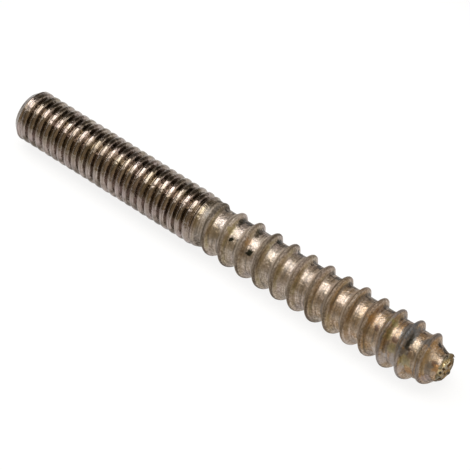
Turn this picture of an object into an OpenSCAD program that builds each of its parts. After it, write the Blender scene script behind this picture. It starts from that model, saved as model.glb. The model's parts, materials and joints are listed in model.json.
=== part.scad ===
/* [Overall] */
// Length from the flat end to the broken tip
total_length = 76.2; // [64:0.1:120]

/* [Machine thread] */
// Diameter over the crests of the machine thread, from which the whole rod takes its diameters
machine_d = 7.9; // [6:0.05:12]
// Depth of the machine thread
machine_depth = 0.7; // [0.45:0.05:0.9]
// Distance from one crest of the machine thread to the next
machine_pitch = 1.411; // [1.2:0.001:1.8]
// Length from the flat end to the place where the two threads meet
machine_length = 33; // [16:0.1:44]
// Length over which the groove of the machine thread gets shallow and ends
machine_runout = 1.8; // [0.8:0.1:3]
// Length of the chamfer at the flat end
end_chamfer = 0.9; // [0.4:0.05:1.4]
// Depth of the chamfer below the crests
end_chamfer_depth = 0.75; // [0.45:0.05:1.4]

/* [Neck] */
// Depth of the plain neck between the two threads below the machine thread's crests
neck_depth = 0.2; // [0.15:0.05:0.4]
// Length of the plain neck between the two threads
neck_length = 0.8; // [0.4:0.1:4]

/* [Wood thread] */
// Height of the wood thread's crests near the neck above the machine thread's
wood_rise = 0.1; // [-0.1:0.05:0.5]
// Height of the wood thread's crests at the start of the nose above the machine thread's
wood_nose_rise = 0.3; // [-0.1:0.05:0.7]
// Depth of the wood thread near the neck
wood_depth = 0.8; // [0.5:0.05:1.2]
// Distance from one crest of the wood thread to the next
wood_pitch = 3.14; // [2.4:0.01:4]
// Length over which the first groove of the wood thread gets deep
wood_lead_in = 1.4; // [0.5:0.1:3]
// Length over which the crest of the wood thread rises from the neck
wood_crest_rise = 7.3; // [3:0.1:14]

/* [Tip] */
// Length of the tapered nose
nose_length = 3.5; // [2:0.1:6]
// Root diameter at the broken tip
tip_d = 3.5; // [2.5:0.05:5]
// Height of the thread where the tip is broken off
tip_thread_height = 0.5; // [0.2:0.05:0.9]

/* [Hidden] */

// Diameters of the flat end inside its chamfer, the neck, and the roots and crests of both threads
end_face_d = machine_d - 2 * end_chamfer_depth;
machine_root_d = machine_d - 2 * machine_depth;
neck_d = machine_d - 2 * neck_depth;
wood_d = machine_d + 2 * wood_rise;
wood_nose_d = machine_d + 2 * wood_nose_rise;
wood_root_d = wood_d - 2 * wood_depth;

// Straight facets in one turn of either thread, with a flat one at the bottom, on which the screw lies
facets_per_turn = 24;
facet_angle = 360 / facets_per_turn;
// Angle round the axis, from +Y to +Z, at which the crest passes the place where the threads meet
crest_angle = 166;
// Turns on either side of that place over which one pitch changes to the other
pitch_change_turns = 0.5;
// Turns by which the rolled form runs past each end before it is trimmed
overrun_turns = 1.5;
// Distance by which the trimming shapes stand clear of the crests
trim_overrun = 1;

// One turn of each thread: shares of the pitch from the crest line, with shares of the thread's height
machine_profile_shares = [[-0.5, 0], [-0.43, 0], [-0.25, 0.9], [0, 1], [0.25, 0.9], [0.43, 0], [0.5, 0]];
wood_profile_shares = [[-0.5, 0], [-0.36, 0.03], [-0.12, 0.88], [-0.05, 1], [0.02, 0.93], [0.25, 0], [0.5, 0]];
profile_steps = len(wood_profile_shares) - 1;
// How far before the nose the crest begins to fall, as a share of the nose's length
crest_fall_share = 0.2;

// Facets of the broken tip: angle of each round the axis, and its slope
break_facets = [[124, 9], [304, 11], [215, 5]];
// Where the break's highest point lies off the axis, in shares of the tip's diameter
break_peak_shares = [0.25, -0.38];

// Distances from the flat end at which the form changes
neck_end = machine_length + neck_length;
nose_start = total_length - nose_length;

// Root and crest radius along the screw
root_along = [
    [0, machine_root_d / 2],
    [machine_length - machine_runout, machine_root_d / 2],
    [machine_length, neck_d / 2],
    [neck_end, neck_d / 2],
    [neck_end + wood_lead_in, wood_root_d / 2],
    [nose_start, wood_root_d / 2],
    [total_length, tip_d / 2]
];
crest_along = [
    [0, machine_d / 2],
    [machine_length - machine_runout / 2, machine_d / 2],
    [machine_length, neck_d / 2],
    [neck_end, neck_d / 2],
    [neck_end + wood_crest_rise, wood_d / 2],
    [nose_start - nose_length * crest_fall_share, wood_nose_d / 2],
    [total_length, tip_d / 2 + tip_thread_height]
];

// First and last facet of the rolled form, counted from angle zero at the place where the threads meet
first_facet = floor((crest_angle / 360 - machine_length / machine_pitch - overrun_turns) * facets_per_turn);
last_facet = ceil(
    (crest_angle / 360 + (total_length - machine_length) / wood_pitch + overrun_turns) * facets_per_turn
);
facet_count = last_facet - first_facet;

// Angle round the axis of a facet's corner
function corner_angle(i) = (first_facet + i + 0.5) * facet_angle;

// Turns from the place where the threads meet, along the crest line, to a facet's corner
function turns_at(i) = (corner_angle(i) - crest_angle) / 360;

// Distance from the flat end after some turns: one pitch before the place where the threads meet,
// the other pitch after it, and an even change between them
function advance(turns) =
    let (w = pitch_change_turns)
    turns < -w ? machine_length + machine_pitch * turns :
    turns > w ? machine_length + wood_pitch * turns :
    machine_length + machine_pitch * turns + (wood_pitch - machine_pitch) * pow(turns + w, 2) / (4 * w);

// Share of the wood thread's profile in the form at some turns
function wood_share(turns) = max(0, min(1, turns / (2 * pitch_change_turns) + 0.5));

// Point k of the profile at a facet's corner i, with the axis of the screw along X
function skin_point(i, k) =
    let (
        turns = turns_at(i),
        share = wood_share(turns),
        profile = machine_profile_shares[k] * (1 - share) + wood_profile_shares[k] * share,
        x = advance(turns + profile.x),
        root = lookup(x, root_along),
        r = root + (lookup(x, crest_along) - root) * profile.y
    )
    [x, r * cos(corner_angle(i)), r * sin(corner_angle(i))];

// The profile ends where the next turn's begins, so that last point is the next turn's first
skin_points = [
    for (i = [0 : facet_count])
        for (k = [0 : profile_steps - 1])
            skin_point(i, k),
    for (i = [facet_count + 1 : facet_count + facets_per_turn])
        skin_point(i, 0)
];

function corner(i, k) =
    k == profile_steps ? corner(i + facets_per_turn, 0) :
    i <= facet_count ? i * profile_steps + k :
    (facet_count + 1) * profile_steps + i - facet_count - 1;

// Open edges at both ends of the rolled form, each a turn of the root and one profile
near_edge = [
    for (i = [0 : facets_per_turn]) corner(i, 0),
    for (k = [profile_steps - 1 : -1 : 1]) corner(0, k)
];
far_edge = [
    for (i = [facet_count : facet_count + facets_per_turn]) corner(i, 0),
    for (k = [profile_steps - 1 : -1 : 1]) corner(facet_count, k)
];
near_centre = len(skin_points);
far_centre = near_centre + 1;
end_centres = [
    [advance(turns_at(0)), 0, 0],
    [advance(turns_at(facet_count)), 0, 0]
];

skin_faces = [
    for (i = [0 : facet_count - 1])
        for (k = [0 : profile_steps - 1])
            each [
                [corner(i, k), corner(i, k + 1), corner(i + 1, k)],
                [corner(i + 1, k), corner(i, k + 1), corner(i + 1, k + 1)]
            ],
    for (j = [0 : len(near_edge) - 1])
        [near_centre, near_edge[j], near_edge[(j + 1) % len(near_edge)]],
    for (j = [0 : len(far_edge) - 1])
        [far_centre, far_edge[(j + 1) % len(far_edge)], far_edge[j]]
];

// Height of the axis over the surface that the screw lies on
axis_height = -min([for (p = skin_points) p.z]);

// Both threads with the neck between them, as rolled, longer than the screw at each end
module rolled_form() {
    polyhedron(points = concat(skin_points, end_centres), faces = skin_faces);
}

// The turned outline that the ends are trimmed to: flat end, chamfer, and a plain reach past the tip
module turned_outline() {
    clear_r = max(machine_d, wood_d, wood_nose_d) / 2 + trim_overrun;
    chamfer_slope = (machine_d - end_face_d) / 2 / end_chamfer;
    rotate([90, 0, 90])
        rotate_extrude()
            polygon([
                [0, 0],
                [end_face_d / 2, 0],
                [clear_r, (clear_r - end_face_d / 2) / chamfer_slope],
                [clear_r, total_length],
                [0, total_length]
            ]);
}

// The wedges that broke away at the tip
module broken_away() {
    reach = wood_nose_d + trim_overrun;
    for (facet = break_facets)
        translate([total_length, tip_d * break_peak_shares.x, tip_d * break_peak_shares.y])
            rotate([facet.x, 0, 0])
                rotate([0, facet.y, 0])
                    translate([0, -reach / 2, -reach / 2])
                        cube([reach, reach, reach]);
}

module double_ended_screw() {
    color("tan")
        translate([-total_length / 2, 0, axis_height])
            difference() {
                intersection() {
                    rolled_form();
                    turned_outline();
                }
                broken_away();
            }
}

double_ended_screw();
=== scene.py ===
"""Looks of a double-ended screw: machine thread, neck, wood thread and broken tip.

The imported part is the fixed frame. One fine mesh with the same helical form stands for its
solid, and three finishes dress it: the plated threads, the cut flat end and the broken tip.
Sizes of the screw are in millimetres, as in the part's source, and meshes are in metres.
"""

import json
import logging
import math
from dataclasses import dataclass
from enum import Enum
from typing import Any, Iterable

import bmesh
import bpy
import numpy as np
from mathutils import Matrix, Vector, noise


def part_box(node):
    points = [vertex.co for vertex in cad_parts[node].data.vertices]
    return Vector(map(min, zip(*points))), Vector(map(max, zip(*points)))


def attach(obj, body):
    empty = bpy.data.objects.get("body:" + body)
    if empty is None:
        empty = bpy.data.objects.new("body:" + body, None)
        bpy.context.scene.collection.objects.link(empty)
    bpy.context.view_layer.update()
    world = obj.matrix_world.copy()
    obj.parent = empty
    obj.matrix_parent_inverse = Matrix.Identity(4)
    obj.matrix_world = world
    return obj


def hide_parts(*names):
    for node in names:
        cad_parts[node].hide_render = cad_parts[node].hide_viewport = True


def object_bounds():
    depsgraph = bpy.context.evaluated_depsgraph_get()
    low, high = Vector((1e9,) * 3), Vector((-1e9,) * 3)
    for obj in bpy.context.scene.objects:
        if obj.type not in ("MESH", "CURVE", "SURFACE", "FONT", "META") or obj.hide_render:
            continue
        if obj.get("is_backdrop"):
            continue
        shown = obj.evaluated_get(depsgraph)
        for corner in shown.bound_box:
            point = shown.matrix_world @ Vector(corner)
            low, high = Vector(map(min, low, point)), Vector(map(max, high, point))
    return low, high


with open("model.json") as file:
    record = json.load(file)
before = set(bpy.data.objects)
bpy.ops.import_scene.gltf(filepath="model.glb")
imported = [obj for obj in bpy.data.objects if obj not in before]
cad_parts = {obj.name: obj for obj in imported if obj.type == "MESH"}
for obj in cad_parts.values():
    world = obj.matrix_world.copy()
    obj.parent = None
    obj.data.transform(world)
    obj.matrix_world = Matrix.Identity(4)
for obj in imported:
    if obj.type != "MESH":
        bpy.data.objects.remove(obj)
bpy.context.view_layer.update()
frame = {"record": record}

LOG = logging.getLogger("double_ended_screw")
NODE = "double_ended_screw"
BODY = "root"
MM = 0.001
FULL_TURN = 360.0

Color = tuple[float, float, float]
Span = tuple[float, float]
Socket = bpy.types.NodeSocket
Value = float | Socket


class Face(Enum):
    """Surfaces with a finish of their own, in the order of the mesh's material slots."""

    ROLLED = 0
    CUT_END = 1
    BREAK = 2


class Tint(Enum):
    """Colours of the stains in the plating; brown and mauve are also laid as painted shade and painted light.
    """

    OLIVE = (0.270, 0.230, 0.092)
    MAUVE = (0.430, 0.345, 0.345)
    BROWN = (0.215, 0.160, 0.092)
    ORANGE = (0.360, 0.195, 0.070)
    SLATE = (0.120, 0.128, 0.135)
    SILVER = (0.470, 0.440, 0.435)
    RUST = (0.110, 0.050, 0.020)
    SOOT = (0.022, 0.022, 0.014)


class NodeBench:
    """Adds nodes to one node tree and joins them.

    Attributes:
        tree: the node tree that is worked on.
    """

    NUMBER_RESULTS = ("DISTANCE", "DOT_PRODUCT", "LENGTH")

    def __init__(self, tree: bpy.types.NodeTree) -> None:
        """Takes a node tree and empties it."""
        self.tree = tree
        tree.nodes.clear()

    def feed(self, socket: Socket, value: Any) -> None:
        """Joins a socket to another one, or sets its own value.

        Args:
            socket: the input to feed.
            value: an output socket, a number, or a colour of three numbers.
        """
        if isinstance(value, bpy.types.NodeSocket):
            self.tree.links.new(value, socket)
        elif socket.type == "RGBA":
            socket.default_value = (*value, 1.0)
        else:
            socket.default_value = value

    def add(self, kind: str, inputs: dict[Any, Any] | None = None, **settings: Any) -> bpy.types.Node:
        """Adds a node.

        Args:
            kind: the node's type.
            inputs: values or sockets by input name or number.
            **settings: the node's own properties.

        Returns:
            The new node.
        """
        node = self.tree.nodes.new(kind)
        for name, value in settings.items():
            setattr(node, name, value)
        for key, value in (inputs or {}).items():
            self.feed(node.inputs[key], value)
        return node

    def math(self, operation: str, *values: Value) -> Socket:
        """Adds a Math node with one to three values."""
        return self.add("ShaderNodeMath", dict(enumerate(values)), operation=operation).outputs[0]

    def vector_math(self, operation: str, *values: Any) -> Socket:
        """Adds a Vector Math node, and gives its number where the operation has one, else its vector."""
        node = self.add("ShaderNodeVectorMath", dict(enumerate(values)), operation=operation)
        return node.outputs["Value" if operation in self.NUMBER_RESULTS else "Vector"]

    def product(self, *values: Value) -> Socket:
        """Multiplies two or more values.

        Args:
            *values: the values.

        Returns:
            Their product.
        """
        result = self.math("MULTIPLY", values[0], values[1])
        for value in values[2:]:
            result = self.math("MULTIPLY", result, value)
        return result

    def scaled(self, value: Value, factor: float, start: Value) -> Socket:
        """Multiplies a value by a factor and adds it to a start."""
        return self.math("MULTIPLY_ADD", value, factor, start)

    def inverse(self, share: Value) -> Socket:
        """Gives what a share leaves of one."""
        return self.math("SUBTRACT", 1.0, share)

    def climb(self, value: Value, low: float, high: float) -> Socket:
        """Gives 0 at low, 1 at high, above or below it, and a soft climb or fall between them."""
        limits = {"Value": value, "From Min": low, "From Max": high}
        return self.add("ShaderNodeMapRange", limits, interpolation_type="SMOOTHSTEP").outputs[0]

    def between(self, share: Value, low: float, high: float) -> Socket:
        """Gives a value between two others, by its share of the way."""
        limits = {"Value": share, "To Min": low, "To Max": high}
        return self.add("ShaderNodeMapRange", limits).outputs[0]

    def mix(self, share: Value, first: Color | Socket, second: Color | Socket) -> Socket:
        """Mixes two colours, by the share of the second."""
        node = self.add("ShaderNodeMix", {0: share, 6: first, 7: second}, data_type="RGBA")
        return node.outputs[2]

    def vector(self, x: Value, y: Value, z: Value) -> Socket:
        """Joins three values to one vector."""
        return self.add("ShaderNodeCombineXYZ", {0: x, 1: y, 2: z}).outputs[0]

    def parts(self, vector: Socket) -> tuple[Socket, Socket, Socket]:
        """Splits a vector into its three values."""
        split = self.add("ShaderNodeSeparateXYZ", {0: vector}).outputs
        return split[0], split[1], split[2]

    def noise(self, vector: Socket, scale: Value, detail: float, depth: Value | None = None) -> Socket:
        """Adds a noise texture.

        Args:
            vector: where the noise is looked up.
            scale: number of its features per unit.
            detail: number of finer layers.
            depth: fourth coordinate, where the noise has one.

        Returns:
            The noise, from 0 to 1.
        """
        inputs: dict[Any, Any] = {"Vector": vector, "Scale": scale, "Detail": detail}
        if depth is not None:
            inputs["W"] = depth
        kind = "3D" if depth is None else "4D"
        return self.add("ShaderNodeTexNoise", inputs, noise_dimensions=kind).outputs[0]

    def bump(self, relief: Socket, distance: float) -> Socket:
        """Gives the normal of a relief whose height 1 is a distance in metres."""
        return self.add("ShaderNodeBump", {"Height": relief, "Distance": distance}).outputs[0]

    def place(self, group: bpy.types.NodeTree, **inputs: Any) -> bpy.types.NodeOutputs:
        """Places a node group, with values or sockets by input name, and gives its outputs."""
        return self.add("ShaderNodeGroup", inputs, node_tree=group).outputs


class Paint:
    """Tints of a material, laid one over the other.

    Attributes:
        bench: the material's bench.
        color: the colour so far.
    """

    def __init__(self, bench: NodeBench, color: Socket) -> None:
        """Starts from a ground colour."""
        self.bench = bench
        self.color = color

    def lay(self, tint: Tint | Color | Socket, *shares: Value) -> None:
        """Lays a tint over the colour so far, by the product of two or more masks and shares."""
        over = tint.value if isinstance(tint, Tint) else tint
        self.color = self.bench.mix(self.bench.product(*shares), self.color, over)


class Effects:
    """Shader node groups that the finishes share, each built once.

    Attributes:
        blotches: patches of tint in the plating.
        pits: small specks, some of them deep.
        streaks: fine lines along the thread, left by the rolling dies.
        spots: one round spot with a soft rim.
    """

    FLOAT = "NodeSocketFloat"
    VECTOR = "NodeSocketVector"

    def __init__(self) -> None:
        """Builds the groups."""
        self.blotches = self._blotches()
        self.pits = self._pits()
        self.streaks = self._streaks()
        self.spots = self._spots()

    @staticmethod
    def _group(
        name: str, inputs: dict[str, str], outputs: Iterable[str]
    ) -> tuple[bpy.types.NodeTree, NodeBench, bpy.types.NodeOutputs, bpy.types.NodeInputs]:
        """Starts a node group.

        Args:
            name: its name.
            inputs: socket types by input name.
            outputs: names of its outputs, all of them values.

        Returns:
            The group, its bench, the outputs of its input node and the inputs of its output node.
        """
        group = bpy.data.node_groups.new(name, "ShaderNodeTree")
        for socket, kind in inputs.items():
            group.interface.new_socket(socket, in_out="INPUT", socket_type=kind)
        for socket in outputs:
            group.interface.new_socket(socket, in_out="OUTPUT", socket_type=Effects.FLOAT)
        bench = NodeBench(group)
        given = bench.add("NodeGroupInput").outputs
        result = bench.add("NodeGroupOutput").inputs
        return group, bench, given, result

    def _blotches(self) -> bpy.types.NodeTree:
        """Builds the patches of tint.

        Returns:
            A group that gives three masks, which don't follow each other.
        """
        inputs = {"Place": self.VECTOR, "Scale": self.FLOAT}
        names = ("Warm", "Green", "Dull")
        group, bench, given, result = self._group("plating_blotches", inputs, names)
        for number, name in enumerate(names):
            cloud = bench.noise(given["Place"], given["Scale"], 3.0, depth=7.0 * number)
            bench.feed(result[name], bench.climb(cloud, 0.38, 0.66))
        return group

    def _pits(self) -> bpy.types.NodeTree:
        """Builds the specks.

        Returns:
            A group that gives a mask of a few round spots, which differ in size.
        """
        inputs = {"Place": self.VECTOR, "Scale": self.FLOAT, "Size": self.FLOAT, "Share": self.FLOAT}
        group, bench, given, result = self._group("fine_pits", inputs, ("Mask",))
        cells = bench.add("ShaderNodeTexVoronoi", {"Vector": given["Place"], "Scale": given["Scale"]})
        chance, variety, _ = bench.parts(cells.outputs["Color"])
        chosen = bench.math("LESS_THAN", chance, given["Share"])
        reach = bench.product(given["Size"], bench.math("ADD", variety, 0.4))
        inside = bench.math("DIVIDE", cells.outputs["Distance"], reach)
        bench.feed(result["Mask"], bench.product(chosen, bench.climb(inside, 1.0, 0.5)))
        return group

    def _streaks(self) -> bpy.types.NodeTree:
        """Builds the lines along the thread.

        Returns:
            A group that gives fine and broad lines: noise that changes fast across the thread and
            slowly along it.
        """
        inputs = {"Phase": self.VECTOR, "Place": self.VECTOR, "Fineness": self.FLOAT, "Drift": self.FLOAT}
        group, bench, given, result = self._group("helix_streaks", inputs, ("Line", "Band"))
        cosine, sine, _ = bench.parts(given["Phase"])
        x, y, z = bench.parts(given["Place"])
        for name, finer in (("Line", 1.0), ("Band", 0.35)):
            fineness = bench.product(given["Fineness"], finer)
            across = bench.vector(
                bench.product(cosine, fineness),
                bench.product(sine, fineness),
                bench.product(x, given["Drift"]),
            )
            depth = bench.product(bench.math("ADD", y, z), given["Drift"])
            bench.feed(result[name], bench.noise(across, 1.0, 3.0, depth=depth))
        return group

    def _spots(self) -> bpy.types.NodeTree:
        """Builds the spot.

        Returns:
            A group that gives a mask of 1 at a centre and 0 from some distance on.
        """
        inputs = {"Place": self.VECTOR, "Centre": self.VECTOR, "Size": self.FLOAT}
        group, bench, given, result = self._group("stain_spot", inputs, ("Mask",))
        apart = bench.vector_math("DISTANCE", given["Place"], given["Centre"])
        inside = bench.math("DIVIDE", apart, given["Size"])
        bench.feed(result["Mask"], bench.climb(inside, 1.0, 0.58))
        return group


@dataclass(frozen=True)
class Finish:
    """What the finishes have in common.

    Attributes:
        name: the material's name.
    """

    name: str

    def start(self) -> tuple[bpy.types.Material, NodeBench, bpy.types.Node, Socket]:
        """Starts a material.

        Returns:
            The material, its bench, its metal shader and the place on the screw in millimetres.
        """
        material = bpy.data.materials.new(self.name)
        material.use_nodes = True
        bench = NodeBench(material.node_tree)
        shader = bench.add("ShaderNodeBsdfPrincipled", {"Metallic": 1.0})
        output = bench.add("ShaderNodeOutputMaterial")
        bench.feed(output.inputs["Surface"], shader.outputs[0])
        metres = bench.add("ShaderNodeTexCoord").outputs["Object"]
        scaled = bench.add("ShaderNodeVectorMath", {0: metres, "Scale": 1 / MM}, operation="SCALE")
        return material, bench, shader, scaled.outputs[0]


@dataclass(frozen=True)
class Stain:
    """A stain at one place of the thread.

    Attributes:
        along: distance from the flat end in millimetres.
        angle: angle round the axis in degrees.
        size: its radius in millimetres.
        tint: its colour.
        share: share of its colour in the middle.
    """

    along: float
    angle: float
    size: float
    tint: Tint
    share: float

    def centre(self, screw: "Screw") -> Color:
        """Finds its centre.

        Args:
            screw: the screw.

        Returns:
            The place in the part's frame, in millimetres, at the thread's root.
        """
        a = math.radians(self.angle)
        r = float(screw.root_r(np.array(self.along)))
        return self.along - screw.length / 2, r * math.cos(a), r * math.sin(a) + screw.axis_height


@dataclass(frozen=True)
class Side:
    """A side of the screw where the finish differs, some with painted light or shade.

    Attributes:
        angle: angle round the axis of its middle, in degrees.
        edge: cosine of the angle from there at which it begins.
        full: cosine of the angle from there at which it is full.
    """

    angle: float
    edge: float
    full: float

    def mask(self, bench: NodeBench, place: Socket, screw: "Screw") -> Socket:
        """Builds the mask of the side.

        Args:
            bench: the material's bench.
            place: the place on the screw in millimetres.
            screw: the screw.

        Returns:
            The mask.
        """
        _, y, z = bench.parts(place)
        out = bench.vector(0.0, y, bench.math("SUBTRACT", z, screw.axis_height))
        a = math.radians(self.angle)
        middle = (0.0, math.cos(a), math.sin(a))
        facing = bench.vector_math("DOT_PRODUCT", bench.vector_math("NORMALIZE", out), middle)
        return bench.climb(facing, self.edge, self.full)

    def dirt_and_shade(self, bench: NodeBench, place: Socket, screw: "Screw") -> Socket:
        """Builds the mask of darkening that lies along the side, thick in patches; it carries painted shade
        and the darker roots.
        """
        thick = bench.climb(bench.noise(place, 0.9, 2.0), 0.35, 0.6)
        return bench.product(self.mask(bench, place, screw), thick)


class ThreadMasks:
    """Patterns on the threads, and masks of where their finish changes.

    Attributes:
        bench: the material's bench.
        screw: the screw.
        place: the place on the screw in millimetres.
        nudged: the same, stirred a little, for the ragged outline of small stains.
        moved: the same, stirred more, for large stains.
        height: share of the thread's height.
        patches: broad patches of tint.
        flecks: small patches of tint.
        lines: rolling lines.
        grit: fine noise.
        gritty: how much of the grit shows.
        wood: the wood thread.
        machine: the machine thread.
        tipward: the golden stretch before the tip.
        last_turns: the turns next to the tip.
        neck: the dull neck.
        runout: the last groove of the machine thread.
        grooved: where the machine thread's groove is deep.
        chamfer: the chamfer of the flat end.
        front: the side where the flanks are stained and the wood thread's trailing foot gets a painted
            highlight.
        gloss: the middle of that side, where the clear layer shows.
        clean: the lower side, where the machine thread's grooves get neither grime nor painted shade and the
            thread is painted paler, and the wood thread's trailing foot gets a painted shadow line.
        belly: the side below the front, darkened with painted shade.
        high: the upper side, where the machine thread's grooves get the most grime and painted shade.
        crest: crest of the wood thread.
        foot: its trailing flank, where it meets the root.
        flank: its leading flank.
        sunk: what lies below the crests of both threads.
    """

    # Distances along the screw at which a mask is 0 and 1, counted from the tip
    TIPWARD = (-32.0, -7.0)
    LAST_TURNS = (-12.5, -9.5)
    # From the place where the threads meet
    RUNOUT_START = (-3.0, -1.6)
    # From the neck's end
    RUNOUT_STOP = (0.0, -0.8)
    NECK_START = (0.0, 0.7)
    NECK_STOP = (2.4, 1.7)
    # From where the machine thread's groove starts
    CHAMFER = (0.0, -0.5)
    # From the place where the threads meet, and from the neck's end
    WOOD = (-0.8, 1.8)
    # Shares of the thread's height, and sines of the place across it, at which a mask is 0 and 1
    CREST = (0.68, 0.95)
    SUNK = (0.6, 0.05)
    LEADING = (0.2, 0.8)
    TRAILING = (-0.1, -0.6)
    FLANK_RISE = (0.02, 0.3)
    FOOT_RISE = (0.01, 0.12)
    FOOT_FALL = (0.6, 0.3)
    # Sides of the screw; the lower side, belly and high side carry painted light and shade
    FRONT = Side(124.0, 0.10, 0.70)
    GLOSS = Side(124.0, 0.55, 0.90)
    LOWER_SIDE = Side(200.0, 0.65, 0.90)
    BELLY = Side(138.0, 0.80, 0.96)
    HIGH = Side(74.0, 0.75, 0.95)
    # Features of the patterns per millimetre, and how far outlines are stirred, in millimetres
    PATCH_SCALE = 0.42
    FLECK_SCALE = 1.8
    GRIT_SCALE = 3.8
    STIR_SCALE = 1.6
    NUDGE = 0.8
    MOVE = 1.6

    def __init__(self, bench: NodeBench, place: Socket, effects: Effects, screw: "Screw") -> None:
        """Builds the masks.

        Args:
            bench: the material's bench.
            place: the place on the screw in millimetres.
            effects: the shared node groups.
            screw: the screw, whose sizes say where the finish changes.
        """
        self.bench = bench
        self.screw = screw
        self.place = place
        self._split()
        self._pattern(effects)
        sides = (self.FRONT, self.GLOSS, self.LOWER_SIDE, self.BELLY, self.HIGH)
        masks = [side.mask(bench, place, screw) for side in sides]
        self.front, self.gloss, self.clean, self.belly, self.high = masks

    def _reach(self, low: float, high: float) -> Socket:
        """Climbs between two distances from the flat end."""
        middle = self.screw.length / 2
        return self.bench.climb(self.bench.parts(self.place)[0], low - middle, high - middle)

    def _from(self, start: float, span: Span) -> Socket:
        """Climbs over a span that is counted from a distance from the flat end."""
        return self._reach(start + span[0], start + span[1])

    def _split(self) -> None:
        """Builds the masks of stretches along the screw and of parts of the thread."""
        bench, screw = self.bench, self.screw
        meet, neck_end = screw.machine_length, screw.neck_end
        self.wood = self._reach(meet + self.WOOD[0], neck_end + self.WOOD[1])
        self.machine = bench.inverse(self.wood)
        self.tipward = self._from(screw.length, self.TIPWARD)
        self.last_turns = self._from(screw.length, self.LAST_TURNS)
        neck_start, neck_stop = self._from(neck_end, self.NECK_START), self._from(neck_end, self.NECK_STOP)
        self.neck = bench.product(neck_start, neck_stop)
        runout_start = self._from(meet, self.RUNOUT_START)
        self.runout = bench.product(runout_start, self._from(neck_end, self.RUNOUT_STOP))
        self.grooved = self._reach(*screw.groove_start)
        self.chamfer = self._from(screw.groove_start[0], self.CHAMFER)
        phase = bench.add("ShaderNodeAttribute", attribute_name=Screw.PHASE).outputs["Vector"]
        _, leading_side, self.height = bench.parts(phase)
        self.crest = bench.product(self.wood, bench.climb(self.height, *self.CREST))
        self.sunk = bench.climb(self.height, *self.SUNK)
        leading, trailing = (bench.climb(leading_side, *span) for span in (self.LEADING, self.TRAILING))
        foot_rise, foot_fall = (bench.climb(self.height, *span) for span in (self.FOOT_RISE, self.FOOT_FALL))
        self.foot = bench.product(self.wood, trailing, foot_rise, foot_fall)
        self.flank = bench.product(self.wood, leading, bench.climb(self.height, *self.FLANK_RISE))
        fineness = bench.scaled(self.wood, -0.6, 2.2)
        self._streaks = {"Phase": phase, "Place": self.place, "Fineness": fineness, "Drift": 0.2}

    def _pattern(self, effects: Effects) -> None:
        """Builds the patterns.

        Args:
            effects: the shared node groups.
        """
        bench, place = self.bench, self.place
        self.patches = bench.place(effects.blotches, Place=place, Scale=self.PATCH_SCALE)
        self.flecks = bench.place(effects.blotches, Place=place, Scale=self.FLECK_SCALE)
        self.lines = bench.place(effects.streaks, **self._streaks)
        self.grit = bench.noise(place, self.GRIT_SCALE, 2.0)
        self.gritty = bench.scaled(self.wood, 0.7, 0.3)
        ragged = bench.add("ShaderNodeTexNoise", {"Vector": place, "Scale": self.STIR_SCALE, "Detail": 3.0})
        stir = bench.vector_math("SUBTRACT", ragged.outputs["Color"], (0.5, 0.5, 0.5))
        self.nudged, self.moved = (
            bench.vector_math("MULTIPLY_ADD", stir, (far, far, far), place) for far in (self.NUDGE, self.MOVE)
        )


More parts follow.
